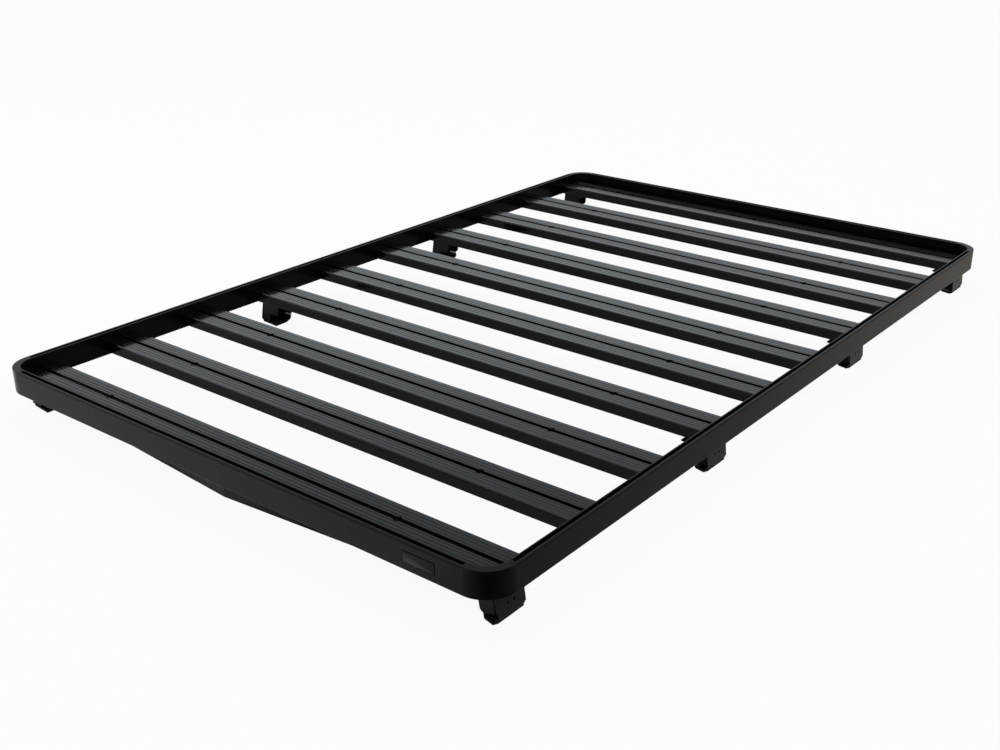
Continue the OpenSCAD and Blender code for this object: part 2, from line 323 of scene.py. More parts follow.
class EffectGroups:
    """Node groups for effects that several finishes share."""

    def __init__(self) -> None:
        """Builds every group once."""
        self.grain = self._grain()
        self.lines = self._lines()
        self.wear = self._wear()
        self.dust = self._dust()

    @staticmethod
    def _start(name: str, inputs: dict[str, tuple[str, object]],
               outputs: dict[str, str]) -> tuple[NodeTree, bpy.types.Node, bpy.types.Node]:
        """Starts a group with named sockets.

        Args:
            name: The group's name.
            inputs: Each input's name, with its socket type and default value.
            outputs: Each output's name, with its socket type.

        Returns:
            The wrapped tree, its input node and its output node.
        """
        group = bpy.data.node_groups.new(name, "ShaderNodeTree")
        for title, (kind, value) in inputs.items():
            socket = group.interface.new_socket(title, in_out="INPUT", socket_type=kind)
            socket.default_value = value
        for title, kind in outputs.items():
            group.interface.new_socket(title, in_out="OUTPUT", socket_type=kind)
        tree = NodeTree(group)
        return tree, tree.add("NodeGroupInput"), tree.add("NodeGroupOutput")

    def _grain(self) -> bpy.types.NodeTree:
        """Builds the fine, slightly pebbled skin of a powder coat or of cast rubber.

        Returns:
            The group, with the outputs Height and Patch.
        """
        tree, enter, leave = self._start(
            "fine_grain",
            {"Scale": ("NodeSocketFloat", 900.0), "Coarse Share": ("NodeSocketFloat", 0.5)},
            {"Height": "NodeSocketFloat", "Patch": "NodeSocketFloat"},
        )
        pebble_scale_share, pebble_smoothness = 0.45, 0.6
        patch_scale, patch_low, patch_high = 7.0, 0.3, 0.7
        place = tree.add("ShaderNodeTexCoord").outputs["Object"]
        fine = tree.noise(place, enter.outputs["Scale"], detail=2.0)
        pebble = tree.add("ShaderNodeTexVoronoi", feature="SMOOTH_F1")
        tree.join(place, pebble.inputs["Vector"])
        tree.join(tree.math("MULTIPLY", enter.outputs["Scale"], pebble_scale_share),
                  pebble.inputs["Scale"])
        pebble.inputs["Smoothness"].default_value = pebble_smoothness
        patch = tree.noise(place, patch_scale, detail=3.0)
        both = tree.add("ShaderNodeMix", data_type="FLOAT")
        tree.join(enter.outputs["Coarse Share"], both.inputs[0])
        for index, height in zip(MIX_FLOATS, (fine, pebble.outputs["Distance"])):
            tree.join(height, both.inputs[index])
        tree.join(both.outputs[0], leave.inputs["Height"])
        tree.join(tree.span(patch, patch_low, patch_high), leave.inputs["Patch"])
        return tree.tree

    def _lines(self) -> bpy.types.NodeTree:
        """Builds the faint lines that a die leaves along an extruded bar.

        Returns:
            The group, with the outputs Height and Tone.
        """
        tree, enter, leave = self._start(
            "die_lines",
            {"Stretch": ("NodeSocketVector", (1.5, 420.0, 420.0))},
            {"Height": "NodeSocketFloat", "Tone": "NodeSocketFloat"},
        )
        tone_low, tone_high = 0.35, 0.65
        stretched = tree.add("ShaderNodeVectorMath", operation="MULTIPLY")
        tree.join(tree.add("ShaderNodeTexCoord").outputs["Object"], stretched.inputs[0])
        tree.join(enter.outputs["Stretch"], stretched.inputs[1])
        height = tree.noise(stretched.outputs[0], 1.0, detail=3.0)
        tree.join(height, leave.inputs["Height"])
        tree.join(tree.span(height, tone_low, tone_high), leave.inputs["Tone"])
        return tree.tree

    def _wear(self) -> bpy.types.NodeTree:
        """Builds the thin rubbed line along outer edges, with the softened normal.

        Returns:
            The group, with the outputs Mask and Normal.
        """
        tree, enter, leave = self._start(
            "edge_wear",
            {"Radius": ("NodeSocketFloat", 0.0008), "Amount": ("NodeSocketFloat", 0.4)},
            {"Mask": "NodeSocketFloat", "Normal": "NodeSocketVector"},
        )
        bent_from, bent_to = 0.98, 0.75
        rub_scale, rub_low, rub_high = 35.0, 0.35, 0.7
        bevel = tree.add("ShaderNodeBevel", samples=6)
        tree.join(enter.outputs["Radius"], bevel.inputs["Radius"])
        face = tree.add("ShaderNodeNewGeometry").outputs["Normal"]
        edge = tree.span(tree.dot(bevel.outputs[0], face), bent_from, bent_to)
        place = tree.add("ShaderNodeTexCoord").outputs["Object"]
        rub = tree.noise(place, rub_scale, detail=4.0)
        broken = tree.math("MULTIPLY", edge, tree.span(rub, rub_low, rub_high))
        tree.join(tree.math("MULTIPLY", broken, enter.outputs["Amount"]), leave.inputs["Mask"])
        tree.join(bevel.outputs[0], leave.inputs["Normal"])
        return tree.tree

    def _dust(self) -> bpy.types.NodeTree:
        """Builds a light film of dust that settles on faces that look up.

        Returns:
            The group, with the output Mask.
        """
        tree, enter, leave = self._start(
            "settled_dust",
            {"Amount": ("NodeSocketFloat", 0.1), "Scale": ("NodeSocketFloat", 18.0)},
            {"Mask": "NodeSocketFloat"},
        )
        upward_low, upward_high = 0.5, 0.95
        cloud_low, cloud_high = 0.4, 0.75
        parts = tree.add("ShaderNodeSeparateXYZ")
        tree.join(tree.add("ShaderNodeNewGeometry").outputs["Normal"], parts.inputs[0])
        upward = tree.span(parts.outputs["Z"], upward_low, upward_high)
        place = tree.add("ShaderNodeTexCoord").outputs["Object"]
        cloud = tree.noise(place, enter.outputs["Scale"], detail=5.0)
        film = tree.math("MULTIPLY", upward, tree.span(cloud, cloud_low, cloud_high))
        tree.join(tree.math("MULTIPLY", film, enter.outputs["Amount"]), leave.inputs["Mask"])
        return tree.tree


@dataclass(frozen=True)
class PowderCoat:
    """A satin black powder coat on metal."""

    name: str
    colour: Colour
    roughness: float
    along: Along = Along.NONE
    specular: float = 0.2
    tint: Colour = (1.0, 1.0, 1.0)
    worn_colour: Colour = (0.05, 0.05, 0.05)
    dust_colour: Colour = (0.10, 0.10, 0.095)
    patch_gain: float = 1.5
    grain_scale: float = 1400.0
    coarse_share: float = 0.35
    grain_depth: float = 0.000004
    line_depth: float = 0.000004
    line_spread: float = 0.02
    edge_radius: float = 0.0006
    wear: float = 0.2
    dust: float = 0.008
    dust_scale: float = 16.0
    dust_roughness: float = 1.2

    def build(self, groups: EffectGroups) -> bpy.types.Material:
        """Makes the material.

        Args:
            groups: The shared effect groups.

        Returns:
            The new material.
        """
        material, tree, shader = blank_material(self.name)
        grain = group_node(tree, groups.grain, {"Scale": self.grain_scale,
                                                "Coarse Share": self.coarse_share})
        lines = group_node(tree, groups.lines, {"Stretch": self.along.value})
        wear = group_node(tree, groups.wear, {"Radius": self.edge_radius, "Amount": self.wear})
        dust = group_node(tree, groups.dust, {"Amount": self.dust, "Scale": self.dust_scale})
        varied = tree.mix_colour(grain.outputs["Patch"], rgba(self.colour),
                                 rgba(scaled(self.colour, self.patch_gain)))
        rubbed = tree.mix_colour(wear.outputs["Mask"], varied, rgba(self.worn_colour))
        dusty = tree.mix_colour(dust.outputs["Mask"], rubbed, rgba(self.dust_colour))
        tree.join(dusty, shader.inputs["Base Color"])
        smooth = tree.swing(lines.outputs["Tone"], self.roughness, self.line_spread)
        dulled = tree.math("MULTIPLY", dust.outputs["Mask"], self.dust_roughness)
        tree.join(tree.math("ADD", smooth, dulled), shader.inputs["Roughness"])
        grained = tree.bump(grain.outputs["Height"], self.grain_depth, wear.outputs["Normal"])
        tree.join(tree.bump(lines.outputs["Height"], self.line_depth, grained),
                  shader.inputs["Normal"])
        shader.inputs["Specular IOR Level"].default_value = self.specular
        shader.inputs["Specular Tint"].default_value = rgba(self.tint)
        return material


@dataclass(frozen=True)
class MouldedRubber:
    """Matt black rubber with a cast skin."""

    name: str
    colour: Colour = (0.012, 0.012, 0.012)
    roughness: float = 0.75
    specular: float = 0.3
    dust: float = 0.25
    dust_scale: float = 40.0
    dust_colour: Colour = (0.09, 0.085, 0.08)
    patch_gain: float = 2.0
    patch_spread: float = 0.06
    grain_scale: float = 700.0
    coarse_share: float = 0.7
    grain_depth: float = 0.00008

    def build(self, groups: EffectGroups) -> bpy.types.Material:
        """Makes the material.

        Args:
            groups: The shared effect groups.

        Returns:
            The new material.
        """
        material, tree, shader = blank_material(self.name)
        grain = group_node(tree, groups.grain, {"Scale": self.grain_scale,
                                                "Coarse Share": self.coarse_share})
        dust = group_node(tree, groups.dust, {"Amount": self.dust, "Scale": self.dust_scale})
        varied = tree.mix_colour(grain.outputs["Patch"], rgba(self.colour),
                                 rgba(scaled(self.colour, self.patch_gain)))
        dusty = tree.mix_colour(dust.outputs["Mask"], varied, rgba(self.dust_colour))
        tree.join(dusty, shader.inputs["Base Color"])
        rough = tree.swing(grain.outputs["Patch"], self.roughness, self.patch_spread)
        tree.join(rough, shader.inputs["Roughness"])
        tree.join(tree.bump(grain.outputs["Height"], self.grain_depth), shader.inputs["Normal"])
        shader.inputs["Specular IOR Level"].default_value = self.specular
        return material


@dataclass(frozen=True)
class Metal:
    """Bare or plated metal, for fasteners and the plate."""

    name: str
    colour: Colour
    roughness: float
    along: Along = Along.NONE
    dark_share: float = 0.8
    bright_gain: float = 2.0
    line_spread: float = 0.05
    line_depth: float = 0.00001
    edge_radius: float = 0.0002
    wear: float = 0.6

    def build(self, groups: EffectGroups) -> bpy.types.Material:
        """Makes the material.

        Args:
            groups: The shared effect groups.

        Returns:
            The new material.
        """
        material, tree, shader = blank_material(self.name)
        lines = group_node(tree, groups.lines, {"Stretch": self.along.value})
        wear = group_node(tree, groups.wear, {"Radius": self.edge_radius, "Amount": self.wear})
        brushed = tree.mix_colour(lines.outputs["Tone"],
                                  rgba(scaled(self.colour, self.dark_share)), rgba(self.colour))
        rubbed = tree.mix_colour(wear.outputs["Mask"], brushed,
                                 rgba(scaled(self.colour, self.bright_gain)))
        tree.join(rubbed, shader.inputs["Base Color"])
        rough = tree.swing(lines.outputs["Tone"], self.roughness, self.line_spread)
        tree.join(rough, shader.inputs["Roughness"])
        tree.join(tree.bump(lines.outputs["Height"], self.line_depth, wear.outputs["Normal"]),
                  shader.inputs["Normal"])
        shader.inputs["Metallic"].default_value = 1.0
        return material


def rgba(colour: Colour) -> tuple[float, float, float, float]:
    """Adds an alpha of 1 to a colour.

    Args:
        colour: Red, green and blue.

    Returns:
        The four numbers.
    """
    return (*colour, 1.0)


def scaled(colour: Colour, gain: float) -> Colour:
    """Makes a colour lighter or darker.

    Args:
        colour: Red, green and blue.
        gain: What each of them is multiplied by.

    Returns:
        The new colour, none of it above 1.
    """
    return tuple(min(1.0, gain * part) for part in colour)


def empty_tree(owner: bpy.types.Material | bpy.types.World) -> NodeTree:
    """Turns on the nodes of a material or a world, and clears them.

    Args:
        owner: The material or the world.

    Returns:
        Its wrapped tree.
    """
    owner.use_nodes = True
    owner.node_tree.nodes.clear()
    return NodeTree(owner.node_tree)


def linked(name: str, data: bpy.types.ID) -> bpy.types.Object:
    """Makes an object and puts it in the scene.

    Args:
        name: The object's name.
        data: Its mesh, lamp or camera.

    Returns:
        The new object.
    """
    item = bpy.data.objects.new(name, data)
    bpy.context.scene.collection.objects.link(item)
    return item


def blank_material(name: str) -> tuple[bpy.types.Material, NodeTree, bpy.types.Node]:
    """Makes a material with only its shader and output.

    Args:
        name: The material's name.

    Returns:
        The material, its wrapped tree and its shader node.
    """
    material = bpy.data.materials.new(name)
    tree = empty_tree(material)
    shader = tree.add("ShaderNodeBsdfPrincipled")
    end = tree.add("ShaderNodeOutputMaterial")
    tree.join(shader.outputs[0], end.inputs["Surface"])
    return material, tree, shader


def group_node(tree: NodeTree, group: bpy.types.NodeTree,
               values: dict[str, object]) -> bpy.types.Node:
    """Adds a group to a tree.

    Args:
        tree: The tree to add it to.
        group: The group.
        values: The values of its inputs, by name.

    Returns:
        The group's node.
    """
    node = tree.add("ShaderNodeGroup")
    node.node_tree = group
    for name, value in values.items():
        node.inputs[name].default_value = value
    return node


class FrameFinish:
    """Gives every part of the frame the finish of its family."""

    coats: dict[Family, PowderCoat | MouldedRubber] = {
        Family.RAIL: PowderCoat("rail_powder_coat", (0.0016, 0.0016, 0.0016), 0.2,
                                specular=0.14),
        Family.CORNER: PowderCoat("corner_powder_coat", (0.0013, 0.0013, 0.0013), 0.2,
                                  specular=0.14, dust=0.004),
        Family.SLAT: PowderCoat("slat_powder_coat", (0.0014, 0.0016, 0.0018), 0.12,
                                Along.ACROSS, specular=0.48, tint=(0.86, 0.97, 1.0),
                                line_depth=0.0000012, wear=0.12),
        Family.LEG: PowderCoat("leg_powder_coat", (0.0018, 0.0018, 0.0018), 0.22,
                               specular=0.14, grain_depth=0.000008),
        Family.DEFLECTOR: PowderCoat("deflector_powder_coat", (0.002, 0.002, 0.002), 0.3,
                                     specular=0.14),
        Family.PAD: MouldedRubber("pad_rubber"),
    }

    def __init__(self, nodes: dict[str, bpy.types.Object], groups: EffectGroups) -> None:
        """Takes the frame's parts and makes the materials.

        Args:
            nodes: The frame's parts by name.
            groups: The shared effect groups.
        """
        self.nodes = nodes
        self.made = {family: coat.build(groups) for family, coat in self.coats.items()
                     if family is not Family.RAIL}
        rail = self.coats[Family.RAIL]
        across = replace(rail, name="cross_rail_powder_coat", along=Along.ACROSS)
        along = replace(rail, name="side_rail_powder_coat", along=Along.LENGTHWISE)
        self.cross_coat, self.side_coat = across.build(groups), along.build(groups)

    @staticmethod
    def family(name: str) -> Family:
        """Finds the family of a part.

        Args:
            name: The part's name.

        Returns:
            Its family.
        """
        for family in Family:
            if family.name.lower() in name:
                return family
        raise ValueError(f"no finish for {name}")

    def material(self, name: str, family: Family) -> bpy.types.Material:
        """Picks a part's material, with the die lines along the part where it is a rail.

        Args:
            name: The part's name.
            family: Its family.

        Returns:
            Its material.
        """
        if family is not Family.RAIL:
            return self.made[family]
        return self.cross_coat if name in ("front_rail", "rear_rail") else self.side_coat

    def apply(self) -> None:
        """Puts the materials on the parts."""
        for name, part in self.nodes.items():
            family = self.family(name)
            material = self.material(name, family)
            part.data.materials.clear()
            part.data.materials.append(material)
            LOG.info("finish %s on %s", material.name, name)


@dataclass
class Shape:
    """A mesh that is put together from turned, extruded and many-sided forms."""

    points: list[Vector] = field(default_factory=list)
    faces: list[list[int]] = field(default_factory=list)

    def skin(self, first: int, count: int, rings: int, stride: int) -> None:
        """Joins a loop of points to the same loop in each ring that follows.

        Args:
            first: The loop's first point in the first ring.
            count: How many points the loop has.
            rings: How many rings there are.
            stride: How many points each ring has in all.
        """
        for low in range(first, first + (rings - 1) * stride, stride):
            for index in range(count):
                after = (index + 1) % count
                self.faces.append([low + index, low + after,
                                   low + after + stride, low + index + stride])

    def closed(self, rings: list[list[Vector]]) -> None:
        """Adds a form through a row of single loops, closed at both ends.

        Args:
            rings: The loops, each with the same number of points, in metres.
        """
        start, count = len(self.points), len(rings[0])
        for ring in rings:
            self.points += ring
        self.skin(start, count, len(rings), count)
        last = start + (len(rings) - 1) * count
        self.faces.append([start + index for index in reversed(range(count))])
        self.faces.append([last + index for index in range(count)])

    def turned(self, outline: Outline, sides: int, place: Matrix, first: float = 0.0) -> None:
        """Adds a form turned about its own z axis, closed at both ends.

        Args:
            outline: Pairs of radius and height, from the lower end to the upper, in mm.
            sides: How many sides it has.
            place: Where it goes, in metres.
            first: The angle of its first corner.
        """
        angles = [first + 2 * math.pi * index / sides for index in range(sides)]
        self.closed([[place @ (Vector((radius * math.cos(angle), radius * math.sin(angle),
                                       height)) * MM) for angle in angles]
                     for radius, height in outline])

    def extruded(self, rings: list[list[list[Vector]]], flat: list[list[Vector]]) -> None:
        """Adds a bar through a row of sections, closed at both ends.

        Args:
            rings: The loops of each section, the outer one first, in metres.
            flat: The loops of the end sections in their own plane.
        """
        start = len(self.points)
        size = sum(len(loop) for loop in flat)
        for loops in rings:
            for loop in loops:
                self.points += loop
        first = start
        for loop in flat:
            self.skin(first, len(loop), len(rings), size)
            first += len(loop)
        last = start + (len(rings) - 1) * size
        for corners in tessellate_polygon(flat):
            self.faces.append([start + corner for corner in corners])
            self.faces.append([last + corner for corner in reversed(corners)])

    def piece(self, name: str, material: bpy.types.Material, smooth_deg: float) -> bpy.types.Object:
        """Makes the object and lets it ride on the frame.

        Args:
            name: The piece's name.
            material: Its material.
            smooth_deg: Edges flatter than this are shaded smooth.

        Returns:
            The new object.
        """
        mesh = bpy.data.meshes.new(name)
        mesh.from_pydata([tuple(point) for point in self.points], [], self.faces)
        work = bmesh.new()
        work.from_mesh(mesh)
        bmesh.ops.remove_doubles(work, verts=work.verts[:], dist=WELD)
        bmesh.ops.recalc_face_normals(work, faces=work.faces)
        limit = math.radians(smooth_deg)
        for face in work.faces:
            face.smooth = True
        for edge in work.edges:
            edge.smooth = len(edge.link_faces) == 2 and edge.calc_face_angle(0.0) < limit
        work.to_mesh(mesh)
        work.free()
        mesh.materials.append(material)
        item = linked(name, mesh)
        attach(item, BODY)
        LOG.info("piece %s", name)
        return item

    def bar(self, node: str, material: bpy.types.Material) -> None:
        """Makes the object of an extruded bar, which stands for a part of the frame.

        Args:
            node: The frame's part.
            material: Its material.
        """
        item = self.piece(f"{node}_bar", material, BAR_SMOOTH_DEG)
        even = item.modifiers.new("even_faces", "WEIGHTED_NORMAL")
        even.keep_sharp = True
        even.weight = BAR_FACE_WEIGHT
        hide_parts(node)


def quarter(middle: tuple[float, float], radius: float, start_deg: float, steps: int
            ) -> Outline:
    """Makes a quarter turn, clockwise.

    Args:
        middle: The arc's centre.
        radius: Its radius.
        start_deg: The angle it starts at.
        steps: How many chords it has.

    Returns:
        Its points, both ends included.
    """
    angles = [math.radians(start_deg - 90.0 * step / steps) for step in range(steps + 1)]
    return [(middle[0] + radius * math.cos(angle), middle[1] + radius * math.sin(angle))
            for angle in angles]


def notch(place: float, width: float, depth: float) -> Outline:
    """Makes a small groove with sloped walls.

    Args:
        place: Where its middle is.
        width: Its width at the mouth.
        depth: Its depth.

    Returns:
        Pairs of place and depth, in order.
    """
    return [(place - width / 2, 0.0), (place - width / 4, depth),
            (place + width / 4, depth), (place + width / 2, 0.0)]


@dataclass(frozen=True)
class PlateSeat:
    """The shallow seat in the front rail's outer face, in millimetres."""

    side: float = 108.5
    top: float = 14.0
    width: float = 67.0
    height: float = 22.0
    depth: float = 0.7


@dataclass
class RailBars:
    """The four rails of the rim, with the fine lines of the real bars on their outer faces.

    Each line is its distance below the top, its width and its depth, the lowest line first.
    """

    sizes: RackSizes
    seat: PlateSeat
    cross_coat: bpy.types.Material
    side_coat: bpy.types.Material
    height: float = 49.0
    wall: float = 1.8
    bridge: float = 2.0
    slot: float = 7.5
    slot_in: float = 5.2
    lip: float = 2.4
    undercut_width: float = 10.6
    undercut_height: float = 7.0
    edge_radius: float = 1.2
    edge_steps: int = 6
    corner_leg: float = 60.0
    lines: tuple[tuple[float, float, float], ...] = ((37.0, 0.9, 0.12), (13.0, 0.9, 0.12),
                                                     (2.7, 1.3, 0.8))

    def outline(self, pocket: float) -> Outline:
        """Makes a rail's outer outline, with its slot, its lines and the plate's seat.

        Args:
            pocket: How deep the seat is at this place.

        Returns:
            Points inwards from the outer face and up from the bottom.
        """
        radius, steps = self.edge_radius, self.edge_steps
        wide, high = self.sizes.rail_width, self.height
        marks = [[(deep, high - below) for below, deep in reversed(notch(*line))]
                 for line in self.lines]
        seat_top = high - self.seat.top
        seat = [(0.0, seat_top - self.seat.height), (pocket, seat_top - self.seat.height),
                (pocket, seat_top), (0.0, seat_top)]
        mouth = self.slot_in + self.slot
        under = self.slot_in + (self.slot - self.undercut_width) / 2
        far = under + self.undercut_width
        lip, floor = high - self.lip, high - self.lip - self.undercut_height
        return [*marks[0], *seat, *marks[1], *marks[2],
                *quarter((radius, high - radius), radius, 180.0, steps),
                (self.slot_in, high), (self.slot_in, lip), (under, lip), (under, floor),
                (far, floor), (far, lip), (mouth, lip), (mouth, high),
                *quarter((wide - radius, high - radius), radius, 90.0, steps),
                *quarter((wide - radius, radius), radius, 0.0, steps),
                *quarter((radius, radius), radius, -90.0, steps)]

    def chamber(self) -> Outline:
        """Makes the outline of the hollow that the corners' spigots plug into.

        Returns:
            Its four points.
        """
        near, far = self.wall, self.sizes.rail_width - self.wall
        top = self.height - self.lip - self.undercut_height - self.bridge
        return [(near, near), (far, near), (far, top), (near, top)]

    def rail(self, name: str, length: float, reach: float, turn_deg: float,
             coat: bpy.types.Material) -> None:
        """Makes one rail.

        Args:
            name: The frame's part that it stands for.
            length: The rack's size along the rail, in mm.
            reach: Distance from the middle to its outer face, in mm.
            turn_deg: How far the front rail's place is turned to this one's.
            coat: Its material.
        """
        half = length / 2 - self.corner_leg
        stations = [(-half, 0.0), (half, 0.0)]
        if name == "front_rail":
            end = length / 2 - self.seat.side
            start = end - self.seat.width
            deep = self.seat.depth
            stations[1:1] = [(start, 0.0), (start, deep), (end, deep), (end, 0.0)]
        turn = Matrix.Rotation(math.radians(turn_deg), 4, "Z")
        bottom = self.sizes.height - self.height
        rings = [[[turn @ (Vector((along, inward - reach, bottom + up)) * MM)
                   for inward, up in loop] for loop in (self.outline(pocket), self.chamber())]
                 for along, pocket in stations]
        flat = [[Vector((inward, up, 0.0)) for inward, up in loop]
                for loop in (self.outline(0.0), self.chamber())]
        shape = Shape()
        shape.extruded(rings, flat)
        shape.bar(name, coat)

    def build(self) -> None:
        """Makes the four rails."""
        width, length = self.sizes.width, self.sizes.length
        self.rail("front_rail", width, length / 2, 0.0, self.cross_coat)
        self.rail("rear_rail", width, length / 2, 180.0, self.cross_coat)
        self.rail("right_rail", length, width / 2, 90.0, self.side_coat)
        self.rail("left_rail", length, width / 2, -90.0, self.side_coat)


@dataclass
class SlatBars:
    """The ten slotted slats, with the fine grooves and side lines of the real bars."""

    sizes: RackSizes
    material: bpy.types.Material
    width: float = 78.0
    height: float = 23.0
    wall: float = 2.0
    slot: float = 9.5
    lip: float = 2.4
    undercut_width: float = 15.0
    undercut_height: float = 6.0
    edge_radius: float = 3.0
    edge_steps: int = 8
    foot_radius: float = 1.0
    foot_steps: int = 4
    groove_first: float = 9.35
    groove_pitch: float = 8.5
    groove_count: int = 3
    groove_width: float = 1.8
    groove_depth: float = 0.9
    line_below: float = 4.0
    line_height: float = 1.6
    line_depth: float = 0.8
    entry_radius: float = 7.5
    entry_spacing: float = 751.0
    entry_steps: int = 14
    entry_room: float = 0.02
    corner_room: float = 0.3

    def outline(self, mouth: float) -> Outline:
        """Makes the slat's outer outline with both its slots.

        Args:
            mouth: Half the upper slot's width at this place.

        Returns:
            Points across and up, from the slat's middle and bottom.
        """
        half, top, under = self.width / 2, self.height, self.undercut_width / 2
        side = [(under, top - self.lip - self.undercut_height), (under, top - self.lip),
                (mouth, top - self.lip), (mouth, top)]
        for index in range(self.groove_count):
            place = self.groove_first + index * self.groove_pitch
            side += [(across, top - deep) for across, deep
                     in notch(place, self.groove_width, self.groove_depth)]
        edge, foot = self.edge_radius, self.foot_radius
        side += quarter((half - edge, top - edge), edge, 90.0, self.edge_steps)
        side += [(half - deep, top - below) for below, deep
                 in notch(self.line_below, self.line_height, self.line_depth)]
        side += quarter((half - foot, foot), foot, 0.0, self.foot_steps)
        side += [(self.slot / 2, 0.0), (self.slot / 2, self.lip), (under, self.lip),
                 (under, self.lip + self.undercut_height)]
        return side + [(-across, up) for across, up in reversed(side)]

    def chambers(self) -> list[Outline]:
        """Makes the outlines of the two closed hollows beside the slots.

        Returns:
            One list of points for each hollow.
        """
        near, far = self.undercut_width / 2 + self.wall, self.width / 2 - self.wall
        low, high = self.wall, self.height - self.wall
        return [[(sign * near, low), (sign * far, low), (sign * far, high), (sign * near, high)]
                for sign in (1, -1)]

    def stations(self) -> Outline:
        """Lists where the section is set along the slat.

        Returns:
            Pairs of the place across the rack and half the upper slot's width there.
        """
        end = self.sizes.width / 2 - self.sizes.rail_width
        plain, radius = self.slot / 2, self.entry_radius
        widest = self.undercut_width / 2 - self.entry_room
        first = math.asin(plain / radius)
        places = [(-end, plain)]
        for middle in (-self.entry_spacing / 2, self.entry_spacing / 2):
            for step in range(self.entry_steps + 1):
                angle = math.pi - first - (math.pi - 2 * first) * step / self.entry_steps
                places.append((middle + radius * math.cos(angle),
                               min(radius * math.sin(angle), widest)))
        return [*places, (end, plain)]

    def reach(self, x: float, y: float) -> float:
        """Ends a slat's line where it meets the side rail or the corner casting.

        Args:
            x: The line's wanted place across the rack, in mm.
            y: Its place along the rack, in mm.

        Returns:
            Its place across the rack, in mm.
        """
        past = abs(y) - (self.sizes.length / 2 - self.sizes.corner_radius)
        if past <= 0:
            return x
        radius = self.sizes.corner_radius
        inner = radius - self.sizes.rail_width - self.corner_room
        most = self.sizes.width / 2 - radius + math.sqrt(inner ** 2 - past ** 2)
        return math.copysign(min(abs(x), most), x)

    def slat(self, number: int) -> None:
        """Makes one slat.

        Args:
            number: The slat, counted from 1 at the front.
        """
        y = self.sizes.slat_y(number)
        rings = [[[Vector((self.reach(x, y + across), y + across,
                           self.sizes.slat_bottom + up)) * MM for across, up in loop]
                  for loop in (self.outline(mouth), *self.chambers())]
                 for x, mouth in self.stations()]
        flat = [[Vector((across, up, 0.0)) for across, up in loop]
                for loop in (self.outline(self.slot / 2), *self.chambers())]
        shape = Shape()
        shape.extruded(rings, flat)
        shape.bar(f"slat_{number:02d}", self.material)

    def build(self) -> None:
        """Makes every slat."""
        for number in range(1, self.sizes.slat_count + 1):
            self.slat(number)


@dataclass(frozen=True)
class Fastener:
    """A bolt end with its nut and washer, seen from below."""

    thread_radius: float = 4.0
    nut_across: float = 13.0
    nut_height: float = 6.5
    washer_radius: float = 8.0
    washer_height: float = 1.6
    washer_rim: float = 0.3
    tail: float = 3.0
    tip_cut: float = 0.8
    thread_pitch: float = 1.25
    thread_start: float = 0.2
    thread_sink: float = 0.1
    thread_rise: float = 0.35
    nut_slope: float = 0.6
    nut_sides: int = 6
    washer_sides: int = 40
    thread_sides: int = 24

    def add(self, shape: Shape, x: float, y: float, z: float, turn: float) -> None:
        """Adds the fastener below a flat face.

        Args:
            shape: The mesh to add to.
            x: Its place across the rack, in mm.
            y: Its place along the rack, in mm.
            z: Height of the face above it, in mm.
            turn: How far the nut is turned, in radians.
        """
        place = Matrix.Translation(Vector((x, y, z)) * MM) @ Matrix.Rotation(math.pi, 4, "X")
        rim, washer, wide = self.washer_rim, self.washer_height, self.washer_radius
        shape.turned([(wide - rim, 0.0), (wide, rim), (wide, washer - rim),
                      (wide - rim, washer)], self.washer_sides, place)
        flat = self.nut_across / 2
        corner = flat / math.cos(math.pi / self.nut_sides)
        top = washer + self.nut_height
        slope_start = top - (corner - flat) * self.nut_slope
        shape.turned([(corner, washer), (corner, slope_start), (flat, top)],
                     self.nut_sides, place, turn)
        radius, cut, tip = self.thread_radius, self.tip_cut, top + self.tail
        shape.turned([(radius, top), (radius, tip - cut), (radius - cut, tip)],
                     self.thread_sides, place)
        root, crest = radius - self.thread_sink, radius + self.thread_rise
        for step in range(int(self.tail / self.thread_pitch)):
            low = top + self.thread_start + step * self.thread_pitch
            shape.turned([(root, low), (crest, low + self.thread_rise),
                          (root, low + 2 * self.thread_rise)], self.thread_sides, place)


@dataclass
class LegFixings:
    """The nuts and washers that hold each leg in its slat's lower slot."""

    sizes: RackSizes
    material: bpy.types.Material
    fastener: Fastener = Fastener()
    reaches: tuple[float, float] = (20.0, 42.0)
    turn_by_leg: float = 0.4
    turn_by_nut: float = 0.9

    def build(self) -> None:
        """Makes one piece for each leg."""
        under = self.sizes.slat_bottom - self.sizes.leg_seat_height - self.sizes.leg_sheet
        for side, sign in (("left", -1), ("right", 1)):
            for row in range(self.sizes.leg_rows):
                shape = Shape()
                y = self.sizes.slat_y(1 + row * self.sizes.leg_every)
                for index, reach in enumerate(self.reaches):
                    x = sign * (self.sizes.leg_face() - reach)
                    turn = self.turn_by_leg * (row + 1) + self.turn_by_nut * index
                    self.fastener.add(shape, x, y, under, turn)
                shape.piece(f"{side}_leg_{row + 1}_nuts", self.material, FASTENER_SMOOTH_DEG)


@dataclass
class DeflectorFixings:
    """The nuts that hold the deflector's flange in the first slat's lower slot."""

    sizes: RackSizes
    material: bpy.types.Material
    fastener: Fastener = Fastener(thread_radius=3.0, nut_across=10.0, nut_height=5.0,
                                  washer_radius=6.0, washer_height=1.2, tail=2.0)
    places: tuple[float, ...] = (-470.0, -235.0, 0.0, 235.0, 470.0)
    turn_by_nut: float = 0.7

    def build(self) -> None:
        """Makes one piece with all the nuts."""
        shape = Shape()
        under = self.sizes.slat_bottom - self.sizes.deflector_sheet
        for index, x in enumerate(self.places):
            turn = self.turn_by_nut * index
            self.fastener.add(shape, x, self.sizes.slat_y(1), under, turn)
        shape.piece("deflector_nuts", self.material, FASTENER_SMOOTH_DEG)


